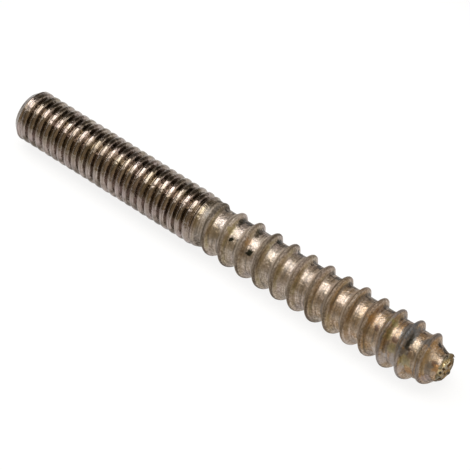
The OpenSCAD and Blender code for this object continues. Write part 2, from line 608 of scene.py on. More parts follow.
@dataclass(frozen=True)
class ThreadFinish(Finish):
    """Plated steel of both threads and the neck: brown-grey, tinted in patches, lined by rolling, with
    painted light and shade on some sides.

    Attributes:
        machine: colour of the machine thread.
        wood: colour of the wood thread.
        groove: colour of the grime in grooves and rolling lines, also laid as painted shade in the machine
            thread's grooves, on its crests below the front and below both threads, and as a painted shadow
            line at the wood thread's trailing foot on the lower side.
        gilt: tint of the plating near the tip.
        crest: colour of the wood thread's rubbed crest.
        zinc: colour of the rubbed crests next to the tip.
        scratch: colour of the bright rolling lines.
        foot: pale colour of the wood thread's trailing flank where it meets the root, a painted highlight on
            the front.
        neck: colour of the dull neck.
        upper_dark: colour of the darkening along the upper side: painted shade on the machine thread, and
            darker roots on the wood thread.
        machine_rough: roughness of the machine thread.
        wood_rough: roughness of the wood thread.
        crest_rough: roughness of the wood thread's crest.
        foot_rough: roughness of its trailing flank.
        coat_rough: roughness of the clear layer over the plating.
        coat_ior: refraction of the clear layer.
        dull_step: roughness that dull patches add.
        neck_dull: roughness that the neck adds.
        line_relief: height of the rolling lines in millimetres.
        grain_relief: height of the grain in millimetres.
        dent_relief: height of the dents in millimetres.
        large_stain: size from which a stain has a more ragged outline, in millimetres.
    """

    name: str = "plated_thread"
    machine: Color = (0.285, 0.240, 0.204)
    wood: Color = (0.470, 0.382, 0.306)
    groove: Color = (0.095, 0.073, 0.052)
    gilt: Color = (0.380, 0.220, 0.088)
    crest: Color = (0.150, 0.130, 0.110)
    zinc: Color = (0.245, 0.230, 0.232)
    scratch: Color = (0.620, 0.550, 0.490)
    foot: Color = (0.620, 0.540, 0.460)
    neck: Color = (0.160, 0.138, 0.112)
    upper_dark: Color = (0.045, 0.033, 0.022)
    machine_rough: float = 0.17
    wood_rough: float = 0.36
    crest_rough: float = 0.62
    foot_rough: float = 0.58
    coat_rough: float = 0.38
    coat_ior: float = 1.7
    dull_step: float = 0.12
    neck_dull: float = 0.22
    line_relief: float = 0.070
    grain_relief: float = 0.090
    dent_relief: float = 0.120
    large_stain: float = 0.8

    # Sides that are darkened: the wood thread's roots on the upper side, and with painted shade the machine
    # thread's upper side and the underside of both
    ROOT_DARKENING = Side(50.0, 0.93, 0.986)
    TOP_SHADE = Side(74.0, 0.95, 0.99)
    UNDER_SHADE = Side(215.0, 0.75, 0.95)

    STAINS = (
        Stain(39.9, 129.0, 0.50, Tint.SOOT, 1.0),
        Stain(43.3, 131.0, 0.64, Tint.SOOT, 1.0),
        Stain(39.2, 68.5, 0.60, Tint.SOOT, 0.7),
        Stain(42.4, 68.0, 0.60, Tint.SOOT, 0.7),
        Stain(45.6, 59.0, 0.60, Tint.SOOT, 0.7),
        Stain(42.2, 112.0, 0.80, Tint.ORANGE, 0.5),
        Stain(39.0, 109.0, 1.00, Tint.OLIVE, 0.6),
        Stain(39.3, 76.0, 0.50, Tint.SOOT, 0.6),
        Stain(39.5, 87.0, 0.45, Tint.SOOT, 0.5),
        Stain(42.4, 76.0, 0.50, Tint.SOOT, 0.6),
        Stain(42.6, 86.0, 0.42, Tint.SOOT, 0.5),
        Stain(37.1, 134.0, 1.20, Tint.BROWN, 0.8),
        Stain(63.8, 80.0, 1.00, Tint.RUST, 0.5),
        Stain(63.9, 114.0, 1.05, Tint.ORANGE, 0.65),
        Stain(64.1, 140.0, 1.00, Tint.BROWN, 0.7),
        Stain(65.5, 124.0, 0.60, Tint.RUST, 0.9),
        Stain(66.9, 94.0, 1.10, Tint.OLIVE, 0.9),
        Stain(67.3, 122.0, 1.00, Tint.OLIVE, 0.7),
        Stain(68.6, 124.0, 0.60, Tint.RUST, 0.9),
        Stain(68.9, 150.0, 0.90, Tint.OLIVE, 0.6),
        Stain(69.9, 98.0, 1.50, Tint.SLATE, 0.85),
        Stain(69.8, 76.0, 1.40, Tint.SLATE, 0.8),
        Stain(70.3, 118.0, 1.20, Tint.SLATE, 0.8),
        Stain(70.4, 136.0, 1.20, Tint.SLATE, 0.7),
        Stain(70.5, 100.0, 0.70, Tint.SOOT, 0.6),
        Stain(70.6, 112.0, 0.75, Tint.SOOT, 0.7),
        Stain(70.7, 124.0, 0.65, Tint.SOOT, 0.6),
        Stain(71.9, 112.0, 0.90, Tint.BROWN, 0.6),
        Stain(71.6, 127.0, 0.80, Tint.RUST, 0.5),
        Stain(71.3, 160.0, 1.20, Tint.OLIVE, 0.6),
        Stain(72.0, 178.0, 0.90, Tint.ORANGE, 0.5),
        Stain(72.7, 91.0, 1.00, Tint.SLATE, 0.7),
        Stain(72.5, 127.0, 1.30, Tint.BROWN, 0.5),
        Stain(74.4, 112.0, 1.30, Tint.BROWN, 0.5),
        Stain(74.5, 134.0, 0.60, Tint.SLATE, 0.5),
        Stain(75.0, 124.0, 0.60, Tint.RUST, 0.9),
        Stain(75.6, 140.0, 0.80, Tint.ORANGE, 0.9),
        Stain(75.6, 82.0, 0.80, Tint.SOOT, 0.7),
        Stain(67.2, 184.0, 1.70, Tint.SILVER, 0.5),
        Stain(70.0, 182.0, 1.70, Tint.SILVER, 0.5),
        Stain(74.3, 190.0, 1.00, Tint.MAUVE, 0.35),
    )

    def material(self, effects: Effects, screw: "Screw") -> bpy.types.Material:
        """Builds the material.

        Args:
            effects: the shared node groups.
            screw: the screw, whose sizes say where the finish changes.

        Returns:
            The material.
        """
        material, bench, shader, place = self.start()
        masks = ThreadMasks(bench, place, effects, screw)
        paint = Paint(bench, bench.mix(masks.wood, self.machine, self.wood))
        self._plate(paint, masks)
        self._wear_and_painted_light(paint, masks)
        self._darken_sides(paint, masks)
        clear = self._stain(paint, masks, effects)
        bench.feed(shader.inputs["Base Color"], paint.color)
        bench.feed(shader.inputs["Roughness"], self._roughness(masks))
        bench.feed(shader.inputs["Coat Weight"], clear)
        bench.feed(shader.inputs["Coat Roughness"], self.coat_rough)
        bench.feed(shader.inputs["Coat IOR"], self.coat_ior)
        bench.feed(shader.inputs["Normal"], self._normal(masks))
        return material

    def _plate(self, paint: Paint, masks: ThreadMasks) -> None:
        """Lays the tints of the plating: patches, gilt towards the tip, the neck and grit.

        Args:
            paint: the colour so far.
            masks: the masks of the threads.
        """
        bench, patches, flecks = masks.bench, masks.patches, masks.flecks
        paint.lay(Tint.OLIVE, patches["Green"], 0.3)
        paint.lay(Tint.MAUVE, patches["Warm"], 0.6)
        paint.lay(Tint.BROWN, flecks["Green"], 0.45)
        gilded = bench.scaled(patches["Dull"], 0.5, 0.5)
        paint.lay(self.gilt, masks.tipward, gilded, bench.scaled(masks.front, 0.6, 0.4))
        paint.lay(self.neck, masks.neck, bench.scaled(flecks["Dull"], 0.4, 0.6))
        paint.lay(self.groove, bench.climb(masks.grit, 0.52, 0.36), masks.gritty, 0.48)
        paint.lay(self.scratch, bench.climb(masks.grit, 0.54, 0.68), masks.gritty, 0.48)

    def _wear_and_painted_light(self, paint: Paint, masks: ThreadMasks) -> None:
        """Lays what follows the thread: stained flanks, grooves dark with grime and painted shade, rubbed
        crests, rolling lines, and painted light and shade on some sides.

        Args:
            paint: the colour so far.
            masks: the masks of the threads.
        """
        bench, machine, line = masks.bench, masks.machine, masks.lines["Line"]
        # Painted shade: the wood thread browner and darker on the side below the front.
        paint.lay(Tint.BROWN, masks.wood, masks.belly, bench.scaled(masks.flecks["Warm"], 0.3, 0.2))
        stained = bench.mix(masks.patches["Green"], Tint.BROWN.value, Tint.OLIVE.value)
        paint.lay(stained, masks.flank, masks.front, 0.5)
        paint.lay(Tint.ORANGE, masks.flank, masks.front, masks.tipward, 0.35)
        # Painted highlight: the wood thread's trailing foot made paler on the front.
        paint.lay(self.foot, masks.foot, masks.front, 0.4)
        # Painted shadow line: the wood thread's trailing foot darkened on the lower side.
        paint.lay(self.groove, masks.foot, masks.clean, 0.7)
        paint.lay(self.crest, masks.crest, 0.5)
        # The machine thread's grooves darkened, partly grime and partly painted shade: most on the upper side
        # and at the runout, none on the lower side.
        dirt_and_shade = bench.mix(masks.flecks["Warm"], self.groove, Tint.BROWN.value)
        deep = bench.scaled(masks.runout, 0.4, bench.scaled(masks.high, 0.35, 0.25))
        paint.lay(dirt_and_shade, masks.sunk, machine, masks.grooved, deep, bench.inverse(masks.clean))
        # Painted shade: the machine thread's crests darkened on the side below the front.
        belly_shade = bench.scaled(masks.patches["Dull"], 0.4, 0.25)
        paint.lay(self.groove, machine, bench.inverse(masks.sunk), masks.belly, belly_shade)
        # Painted light: the machine thread paler and pinker on the lower side.
        paint.lay(Tint.MAUVE, machine, masks.clean, 0.35)
        paint.lay(self.groove, masks.chamfer, 0.65)
        rubbed = bench.climb(masks.lines["Band"], 0.36, 0.56)
        paint.lay(self.zinc, masks.last_turns, bench.climb(masks.height, 0.72, 0.96), rubbed, 0.65)
        paint.lay(self.groove, bench.climb(line, 0.50, 0.34), 0.7)
        paint.lay(self.scratch, bench.climb(line, 0.54, 0.74), 0.5)

    def _darken_sides(self, paint: Paint, masks: ThreadMasks) -> None:
        """Lays darkening along some sides: darker wood roots on the upper side, and painted shade along the
        machine thread's upper side and below both threads.

        Args:
            paint: the colour so far.
            masks: the masks of the threads.
        """
        bench, screw = masks.bench, masks.screw
        # The wood thread's roots darker along the upper side, in patches.
        paint.lay(self.upper_dark, self.ROOT_DARKENING.dirt_and_shade(bench, masks.moved, screw), masks.wood, masks.sunk)
        # Painted shade: a dark band, in patches, along the upper side of the machine thread.
        paint.lay(self.upper_dark, self.TOP_SHADE.dirt_and_shade(bench, masks.moved, screw), masks.machine, 0.8)
        # Painted shade: the underside of the machine thread and of the wood thread's roots darkened.
        shaded_below = bench.math("MAXIMUM", masks.machine, bench.product(masks.sunk, 0.4))
        paint.lay(self.groove, self.UNDER_SHADE.dirt_and_shade(bench, masks.place, screw), shaded_below, 0.9)

    def _stain(self, paint: Paint, masks: ThreadMasks, effects: Effects) -> Socket:
        """Lays the stains.

        Args:
            paint: the colour so far.
            masks: the masks of the threads.
            effects: the shared node groups.

        Returns:
            The mask of the clear layer, which soot breaks.
        """
        bench, screw = masks.bench, masks.screw
        clear = bench.product(masks.wood, masks.sunk, masks.gloss)
        for stain in self.STAINS:
            outline = masks.nudged if stain.size < self.large_stain else masks.moved
            spot = bench.place(effects.spots, Place=outline, Centre=stain.centre(screw), Size=stain.size)
            paint.lay(stain.tint, spot["Mask"], stain.share)
            if stain.tint is Tint.SOOT:
                clear = bench.product(clear, bench.inverse(spot["Mask"]))
        return clear

    def _roughness(self, masks: ThreadMasks) -> Socket:
        """Builds the roughness.

        Args:
            masks: the masks of the threads.

        Returns:
            The roughness.
        """
        bench = masks.bench
        dulled = bench.scaled(masks.patches["Dull"], 0.6, bench.product(masks.flecks["Dull"], 0.4))
        grains = bench.product(bench.climb(masks.grit, 0.56, 0.38), masks.gritty)
        rough = bench.scaled(masks.wood, self.wood_rough - self.machine_rough, self.machine_rough)
        rough = bench.scaled(masks.crest, self.crest_rough - self.wood_rough, rough)
        rough = bench.scaled(dulled, self.dull_step, rough)
        rough = bench.scaled(grains, self.dull_step, rough)
        rough = bench.scaled(masks.foot, self.foot_rough - self.wood_rough, rough)
        return bench.scaled(masks.neck, self.neck_dull, rough)

    def _normal(self, masks: ThreadMasks) -> Socket:
        """Builds the relief: rolling lines, grain and dents.

        Args:
            masks: the masks of the threads.

        Returns:
            The normal.
        """
        bench = masks.bench
        grain = bench.product(bench.noise(masks.place, 3.0, 3.0), bench.scaled(masks.wood, 0.6, 0.4))
        lined = bench.scaled(masks.wood, 0.65, 0.35)
        lined = bench.product(masks.lines["Line"], lined, self.line_relief)
        relief = bench.scaled(grain, self.grain_relief, lined)
        dents = bench.noise(masks.place, 1.2, 1.0)
        return bench.bump(bench.scaled(dents, self.dent_relief, relief), MM)


@dataclass(frozen=True)
class CutFinish(Finish):
    """Sheared and plated flat end.

    Attributes:
        clean: colour of the plated steel.
        stained: colour of its stains.
        smooth: least roughness.
        dull: greatest roughness.
        relief: height of the shear lines in millimetres.
    """

    name: str = "cut_end"
    clean: Color = (0.300, 0.255, 0.212)
    stained: Color = (0.170, 0.130, 0.090)
    smooth: float = 0.30
    dull: float = 0.48
    relief: float = 0.012

    def material(self, effects: Effects) -> bpy.types.Material:
        """Builds the material.

        Args:
            effects: the shared node groups.

        Returns:
            The material.
        """
        material, bench, shader, place = self.start()
        stains = bench.place(effects.blotches, Place=place, Scale=0.9)
        specks = bench.place(effects.pits, Place=place, Scale=1.6, Size=0.2, Share=0.2)["Mask"]
        marked = bench.math("MAXIMUM", bench.product(stains["Dull"], 0.7), specks)
        bench.feed(shader.inputs["Base Color"], bench.mix(marked, self.clean, self.stained))
        bench.feed(shader.inputs["Roughness"], bench.between(stains["Warm"], self.smooth, self.dull))
        _, y, z = bench.parts(place)
        shear = bench.vector(bench.product(y, 6.0), bench.product(z, 0.5), 0.0)
        relief = bench.math("SUBTRACT", bench.noise(shear, 1.0, 3.0), specks)
        bench.feed(shader.inputs["Normal"], bench.bump(relief, self.relief * MM))
        return material


@dataclass(frozen=True)
class BreakFinish(Finish):
    """Rough broken steel: gold on the side towards the camera, brown behind, painted shade below and a
    painted shadow along the rim.

    Attributes:
        gold: colour of the bright grains.
        brown: colour of the stained grains.
        dark: colour of the gaps between grains, of the painted shade on the lower facet and of the painted
            shadow along the rim.
        bright_angle: angle round the axis of the bright side, in degrees.
        browning: distances towards the bright side at which the brown begins and is full.
        shading: distances towards the low side at which the painted shade begins and is full.
        rim: distances from the axis at which the painted shadow along the rim begins and is full.
        smooth: least roughness.
        dull: greatest roughness.
        relief: height of the grains in millimetres.
    """

    name: str = "broken_tip"
    gold: Color = (0.640, 0.520, 0.300)
    brown: Color = (0.300, 0.180, 0.065)
    dark: Color = (0.050, 0.042, 0.028)
    bright_angle: float = 124.0
    browning: Span = (1.0, -0.4)
    shading: Span = (0.5, 1.3)
    rim: Span = (1.3, 1.8)
    smooth: float = 0.22
    dull: float = 0.48
    relief: float = 0.08

    def material(self, effects: Effects, screw: "Screw") -> bpy.types.Material:
        """Builds the material.

        Args:
            effects: the shared node groups.
            screw: the screw, whose axis the sides are counted from.

        Returns:
            The material.
        """
        material, bench, shader, place = self.start()
        stains = bench.place(effects.blotches, Place=place, Scale=1.2)
        gaps = bench.place(effects.pits, Place=place, Scale=1.3, Size=0.42, Share=0.45)["Mask"]
        _, y, z = bench.parts(place)
        a = math.radians(self.bright_angle)
        up = bench.math("SUBTRACT", z, screw.axis_height)
        bright = bench.math("ADD", bench.product(y, math.cos(a)), bench.product(up, math.sin(a)))
        low = bench.math("SUBTRACT", bench.product(up, math.cos(a)), bench.product(y, math.sin(a)))
        out = bench.vector_math("LENGTH", bench.vector(0.0, y, up))

        warm = bench.product(stains["Warm"], 0.5)
        browned = bench.scaled(bench.climb(bright, *self.browning), 0.8, warm)
        color = bench.mix(bench.math("MINIMUM", browned, 1.0), self.gold, self.brown)
        # Painted shadow along the rim of the break, and painted shade on its lower facet.
        rim = bench.product(bench.climb(out, *self.rim), 0.65)
        shaded = bench.math("MAXIMUM", bench.product(bench.climb(low, *self.shading), 0.8), rim)
        hollow = bench.math("MAXIMUM", bench.product(stains["Dull"], 0.7), gaps)
        color = bench.mix(bench.math("MAXIMUM", hollow, shaded), color, self.dark)
        bench.feed(shader.inputs["Base Color"], color)
        bench.feed(shader.inputs["Roughness"], bench.between(stains["Green"], self.smooth, self.dull))
        relief = bench.math("SUBTRACT", bench.noise(place, 2.6, 3.0), gaps)
        bench.feed(shader.inputs["Normal"], bench.bump(relief, self.relief * MM))
        return material


@dataclass(frozen=True)
class ThreadProfile:
    """One turn of a thread, from root to root.

    Attributes:
        shares: shares of the pitch from the crest line, with shares of the thread's height.
        rounding_share: share of the pitch over which its corners are rounded.
    """

    shares: tuple[tuple[float, float], ...]
    rounding_share: float

    ROUNDING_STEPS = 13
    FINE_STEPS = 400

    def heights(self, across: np.ndarray) -> np.ndarray:
        """Gives the rounded height, 1 at the crest, at shares of the pitch from the crest line."""
        fine = np.linspace(-0.5, 0.5, self.FINE_STEPS, endpoint=False)
        return self._rounded(across) / self._rounded(fine).max()

    def _rounded(self, across: np.ndarray) -> np.ndarray:
        """Averages the straight-sided profile over the rounding.

        Args:
            across: shares of the pitch from the crest line.

        Returns:
            Shares of the straight-sided thread's height.
        """
        steps = np.linspace(-2.0, 2.0, self.ROUNDING_STEPS)
        weights = np.exp(-steps * steps)
        x, y = np.array(self.shares).T
        total = sum(
            weight * np.interp(across + step * self.rounding_share, x[:-1], y[:-1], period=1.0)
            for step, weight in zip(steps, weights)
        )
        return total / weights.sum()


@dataclass(frozen=True)
class BreakFacet:
    """A sloping part of the broken tip.

    Attributes:
        angle: angle round the axis of the way that it faces, in degrees.
        slope: its slope against the plane across the axis, in degrees.
    """

    angle: float
    slope: float

    def offset(self, y: np.ndarray, z: np.ndarray) -> np.ndarray:
        """Gives its distance along the axis from the break's highest point."""
        a = math.radians(self.angle)
        return -math.tan(math.radians(self.slope)) * (math.sin(a) * y - math.cos(a) * z)


@dataclass
class Screw:
    """The screw, with its sizes in millimetres and distances counted from the flat end.

    Attributes:
        length: length from the flat end to the broken tip.
        axis_height: height of the axis over the floor of the frame.
        machine_r: radius over the crests of the machine thread.
        machine_length: length from the flat end to the place where the threads meet.
        wood_nose_r: radius over the crests of the wood thread at the start of the nose.
        neck_end: distance at which the wood thread begins.
        machine_pitch: distance from one crest of the machine thread to the next.
        machine_lead: how far the machine thread's crest line runs ahead of the wood thread's at the neck.
        machine_depth: depth of the machine thread.
        machine_runout: length over which the groove of the machine thread ends in the solid.
        groove_start: distances at which the machine thread's groove starts and is deep.
        run_on: how much further than in the solid the machine thread's groove stays deep.
        end_chamfer: length of the chamfer at the flat end.
        end_chamfer_depth: depth of the chamfer below the crests.
        neck_depth: depth of the neck below the machine thread's crests.
        wood_rise: height of the wood thread's crests near the neck above the machine thread's.
        wood_depth: depth of the wood thread near the neck.
        wood_pitch: distance from one crest of the wood thread to the next.
        wood_lead_in: length over which the first groove of the wood thread gets deep.
        wood_crest_rise: length over which the crest of the wood thread rises from the neck.
        nose_length: length of the tapered nose.
        tip_r: root radius at the broken tip.
        tip_thread_height: height of the thread where the tip is broken off.
        crest_angle: angle round the axis at which the crest passes where the threads meet, in degrees.
        pitch_change_turns: turns on either side of there over which one pitch changes to the other.
        overrun_turns: turns by which the rolled form runs past each end before it is cut.
        run_rounding: length over which bends of the crest and root lines are rounded.
        crest_waver: how far the crest wavers in height.
        crest_fall_share: how far before the nose the crest begins to fall, as a share of the nose.
        wander: how far the wood thread strays along the axis within each turn.
        wander_angle: angle round the axis at which it strays most towards the tip, in degrees.
        wander_turns: turns past the neck over which it comes to stray that far.
        break_peak: where the break's highest point lies off the axis.
        peak_keep: distance from that point at which the grains are as deep as elsewhere.
        peak_grain_share: share of their depth at that point.
        grain_size: size of the broken grains.
        grain_step: greatest step from one grain to the next.
        grain_tilt: greatest slope of a grain.
        segments: segments in each turn.
        profile_steps: steps across the thread.
        cut_rings: rings of the flat end's mesh.
        break_rings: rings of the broken tip's mesh.
    """

    length: float
    axis_height: float
    machine_r: float
    machine_length: float
    wood_nose_r: float
    neck_end: float

    machine_pitch: float = 1.393
    machine_lead: float = 0.913
    machine_depth: float = 0.7
    machine_runout: float = 1.8
    groove_start: Span = (1.1, 1.8)
    run_on: float = 1.3
    end_chamfer: float = 0.9
    end_chamfer_depth: float = 0.75
    neck_depth: float = 0.2
    wood_rise: float = 0.1
    wood_depth: float = 0.8
    wood_pitch: float = 3.14
    wood_lead_in: float = 1.4
    wood_crest_rise: float = 7.3
    nose_length: float = 3.5
    tip_r: float = 1.75
    tip_thread_height: float = 0.5
    crest_angle: float = 166.0
    pitch_change_turns: float = 0.5
    overrun_turns: float = 1.5
    run_rounding: float = 0.25
    crest_waver: float = 0.018
    crest_fall_share: float = 0.2
    wander: float = 0.19
    wander_angle: float = -5.0
    wander_turns: float = 2.0
    break_peak: Span = (0.875, -1.33)
    peak_keep: float = 1.0
    peak_grain_share: float = 0.1
    grain_size: float = 0.85
    grain_step: float = 0.30
    grain_tilt: float = 0.55
    segments: int = 90
    profile_steps: int = 25
    cut_rings: int = 8
    break_rings: int = 24

    PHASE = "thread_phase"
    MACHINE = ThreadProfile(
        (
            (-0.5, 0), (-0.46, 0), (-0.36, 0.45), (-0.27, 0.81), (-0.18, 0.93), (-0.09, 0.985), (0, 1),
            (0.09, 0.985), (0.18, 0.93), (0.27, 0.81), (0.36, 0.45), (0.46, 0), (0.5, 0),
        ),
        0.04,
    )
    WOOD = ThreadProfile(
        (
            (-0.5, 0), (-0.36, 0.01), (-0.25, 0.17), (-0.12, 0.86), (-0.05, 1),
            (0.02, 0.95), (0.20, 0.07), (0.25, 0), (0.5, 0),
        ),
        0.022,
    )
    FACETS = (BreakFacet(124, 9), BreakFacet(304, 11), BreakFacet(215, 5))
    # Waves of the crest: round the axis, along it, and by the turn
    WAVES_ROUND = 3
    WAVES_ALONG = 0.4
    WAVES_BY_TURN = (7.3, 17.9)
    # Steps of the tables and averages, spread of the grains' numbers, and least height of a thread
    LOOKUP_STEPS = 8000
    RUN_STEPS = 7
    GRAIN_SPREAD = 9.0
    LEAST_HEIGHT = 0.05

    @classmethod
    def from_frame(cls, record: dict[str, Any]) -> "Screw":
        """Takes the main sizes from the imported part.

        Args:
            record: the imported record, whose mounts give the threads' sizes.

        Returns:
            The screw.
        """
        low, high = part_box(NODE)
        length = (high.x - low.x) / MM
        mounts = {mount["name"]: mount for mount in record["mounts"]}
        machine, wood = mounts["machine_thread"], mounts["wood_thread"]
        return cls(
            length=length,
            axis_height=machine["pos_m"][2] / MM,
            machine_r=machine["dims"]["r_mm"],
            machine_length=machine["dims"]["length_mm"],
            wood_nose_r=wood["dims"]["r_mm"],
            neck_end=length - wood["dims"]["length_mm"],
        )

    def wood_share(self, turns: np.ndarray) -> np.ndarray:
        """Gives the share of the wood thread's form after some turns from where the threads meet."""
        return np.clip(turns / (2 * self.pitch_change_turns) + 0.5, 0, 1)

    def advance(self, turns: np.ndarray) -> np.ndarray:
        """Follows the crest line along the axis.

        Args:
            turns: turns from the place where the threads meet.

        Returns:
            Distances from the flat end.
        """
        w = self.pitch_change_turns
        machine = self.machine_length + self.machine_lead + self.machine_pitch * turns
        wood = self.machine_length + self.wood_pitch * turns
        share = self.wood_share(turns)
        fall_back = self.machine_lead * share * share * (3 - 2 * share)
        between = machine - fall_back + (self.wood_pitch - self.machine_pitch) * (turns + w) ** 2 / (4 * w)
        return np.where(turns < -w, machine, np.where(turns > w, wood, between))

    def turn_range(self) -> tuple[float, float]:
        """Finds how many turns the rolled form needs.

        Returns:
            The turns at which it starts and ends, past both ends of the screw.
        """
        first = -self.machine_length / self.machine_pitch - self.overrun_turns
        last = (self.length - self.machine_length) / self.wood_pitch + self.overrun_turns
        return first, last

    def turns_at(self, x: np.ndarray) -> np.ndarray:
        """Follows the crest line backwards.

        Args:
            x: distances from the flat end.

        Returns:
            Turns from the place where the threads meet.
        """
        first, last = self.turn_range()
        turns = np.linspace(first - 1, last + 1, self.LOOKUP_STEPS)
        return np.interp(x, self.advance(turns), turns)

    def _along(self, x: np.ndarray, corners: list[tuple[float, float]]) -> np.ndarray:
        """Reads a radius off a line whose bends are rounded a little.

        Args:
            x: distances from the flat end.
            corners: distances and radii of the line's bends.

        Returns:
            The radii.
        """
        places, radii = np.array(corners).T
        steps = np.linspace(-1.0, 1.0, self.RUN_STEPS) * self.run_rounding
        return sum(np.interp(x + step, places, radii) for step in steps) / len(steps)

    def root_r(self, x: np.ndarray) -> np.ndarray:
        """Gives the radius at the thread's root.

        Args:
            x: distances from the flat end.

        Returns:
            The radii.
        """
        machine, neck = self.machine_r - self.machine_depth, self.machine_r - self.neck_depth
        wood = self.machine_r + self.wood_rise - self.wood_depth
        corners = [
            (self.groove_start[0], self.machine_r),
            (self.groove_start[1], machine),
            (self.machine_length - self.machine_runout + self.run_on, machine),
            (self.neck_end, neck),
            (self.neck_end + self.wood_lead_in, wood),
            (self.length - self.nose_length, wood),
            (self.length, self.tip_r),
        ]
        return self._along(x, corners)

    def crest_r(self, x: np.ndarray) -> np.ndarray:
        """Gives the radius at the thread's crest.

        Args:
            x: distances from the flat end.

        Returns:
            The radii.
        """
        corners = [
            (0, self.machine_r),
            (self.machine_length, self.machine_r),
            (self.neck_end, self.machine_r - self.neck_depth),
            (self.neck_end + self.wood_crest_rise, self.machine_r + self.wood_rise),
            (self.length - self.nose_length * (1 + self.crest_fall_share), self.wood_nose_r),
            (self.length, self.tip_r + self.tip_thread_height),
        ]
        return self._along(x, corners)

    def chamfer_r(self, x: np.ndarray) -> np.ndarray:
        """Gives the radius of the cone that cuts the flat end's chamfer."""
        return self.machine_r - self.end_chamfer_depth * (1 - x / self.end_chamfer)

    def wander_at(self, turns: np.ndarray, angle: np.ndarray) -> np.ndarray:
        """Gives how far the wood thread strays along the axis within each turn, as rolled."""
        share = np.clip(turns / self.wander_turns, 0, 1)
        return self.wander * share * np.cos(angle - math.radians(self.wander_angle))

    def _skin(self) -> tuple[np.ndarray, np.ndarray]:
        """Lays out the rolled form as a grid that follows the thread.

        Returns:
            Points in millimetres from the flat end's centre, and corner numbers of the faces.
        """
        first, last = self.turn_range()
        columns = math.ceil((last - first) * self.segments)
        turns = (first + np.arange(columns + 1 + self.segments) / self.segments)[:, None]
        across = np.arange(self.profile_steps) / self.profile_steps - 0.5
        wood = self.wood_share(turns)
        height = self.MACHINE.heights(across) * (1 - wood) + self.WOOD.heights(across) * wood
        angle = np.radians(turns * FULL_TURN + self.crest_angle)
        x = self.advance(turns + across) + self.wander_at(turns + across, angle)
        waves = [np.sin(self.WAVES_ROUND * angle + self.WAVES_ALONG * x)]
        waves += [np.sin(pace * turns) for pace in self.WAVES_BY_TURN]
        root, crest = self.root_r(x), self.crest_r(x)
        radius = root + (crest - root + self.crest_waver * sum(waves) / len(waves)) * height
        radius = np.minimum(radius, self.chamfer_r(x))
        grid = np.stack((x, radius * np.cos(angle), radius * np.sin(angle)), axis=2)
        number = np.arange(grid.shape[0] * self.profile_steps).reshape(grid.shape[:2])
        number = np.hstack((number[: -self.segments], number[self.segments :, :1]))
        near, far = number[:-1], number[1:]
        quads = np.stack((near[:, :-1], far[:, :-1], far[:, 1:], near[:, 1:]), axis=2)
        return grid.reshape(-1, 3), quads.reshape(-1, 4)

    def break_offset(self, y: np.ndarray, z: np.ndarray) -> np.ndarray:
        """Gives the distance of the broken surface from the plane across the tip.

        Args:
            y: places across the axis.
            z: places up from the axis.

        Returns:
            Distances along the axis, negative towards the flat end.
        """
        off_y, off_z = y - self.break_peak[0], z - self.break_peak[1]
        slopes = [facet.offset(off_y, off_z) for facet in self.FACETS]
        grains = np.array([self._grain(float(a), float(b)) for a, b in zip(y, z)])
        depth = np.clip(np.hypot(off_y, off_z) / self.peak_keep, self.peak_grain_share, 1)
        return np.min(slopes, axis=0) - grains * depth

    def _grain(self, y: float, z: float) -> float:
        """Gives the depth of the broken grain at a place, where each grain is a small tilted face.

        Args:
            y: the place across the axis.
            z: the place up from the axis.

        Returns:
            The depth.
        """
        spot = Vector((y, z, 0.0)) / self.grain_size
        nearest = noise.voronoi(spot)[1][0]
        step = noise.cell_vector(nearest * self.GRAIN_SPREAD)
        lean = (spot - nearest).xy * self.grain_size
        tilt = self.grain_tilt * ((step.x - 0.5) * lean.x + (step.y - 0.5) * lean.y)
        return max(0.0, self.grain_step * step.z + 2 * tilt)

    def build(self) -> bpy.types.Object:
        """Builds the mesh that stands for the part's solid.

        Returns:
            The screw, in the part's frame.
        """
        points, quads = self._skin()
        tip_start = self.length - self.nose_length - self.wood_pitch
        near_tip = points[:, 0] > tip_start
        tip = points[near_tip]
        points[near_tip, 0] -= self.break_offset(tip[:, 1], tip[:, 2])
        mesh = bpy.data.meshes.new(NODE + "_skin")
        mesh.from_pydata(points, [], quads)
        form = bmesh.new()
        form.from_mesh(mesh)
        self._cut(form, 0.0, -1.0)
        self._cut(form, self.length, 1.0)
        loose = [vert for vert in form.verts if not vert.link_faces]
        bmesh.ops.delete(form, geom=loose, context="VERTS")
        for face in form.faces:
            face.smooth = True
        tip_verts = {vert for vert in form.verts if vert.co.x > tip_start}
        rings = {Face.CUT_END: self.cut_rings, Face.BREAK: self.break_rings}
        for rim in self._rims(form):
            face = Face.BREAK if rim[0].co.x > self.length / 2 else Face.CUT_END
            added = self._cap(form, rim, rings[face], face)
            rings[face] = 1
            if face is Face.BREAK:
                tip_verts |= added
        self._unwarp(tip_verts)
        self._to_frame(form)
        form.to_mesh(mesh)
        form.free()
        self._stamp(mesh)
        screw = bpy.data.objects.new(NODE + "_skin", mesh)
        bpy.context.scene.collection.objects.link(screw)
        return screw

    @staticmethod
    def _cut(form: bmesh.types.BMesh, place: float, way: float) -> None:
        """Cuts the form off square to the axis.

        Args:
            form: the rolled form.
            place: distance from the flat end.
            way: the side that falls away, 1 towards the tip and -1 away from it.
        """
        everything = [*form.verts, *form.edges, *form.faces]
        bmesh.ops.bisect_plane(
            form, geom=everything, plane_co=(place, 0, 0), plane_no=(way, 0, 0), clear_outer=True
        )

    @staticmethod
    def _rims(form: bmesh.types.BMesh) -> list[list[bmesh.types.BMVert]]:
        """Finds the open rims at both ends, each as a ring of points in order.

        Args:
            form: the form, open at both ends.

        Returns:
            The rims, the longest first.
        """
        boundary = [edge for edge in form.edges if edge.is_boundary]
        unused = set(boundary)
        rims = []
        for first in boundary:
            if first not in unused:
                continue
            rim = [first.verts[0]]
            edge: bmesh.types.BMEdge | None = first
            while edge is not None:
                unused.discard(edge)
                rim.append(edge.other_vert(rim[-1]))
                edge = next((e for e in rim[-1].link_edges if e in unused), None)
            rims.append(rim[:-1])
        return sorted(rims, key=len, reverse=True)

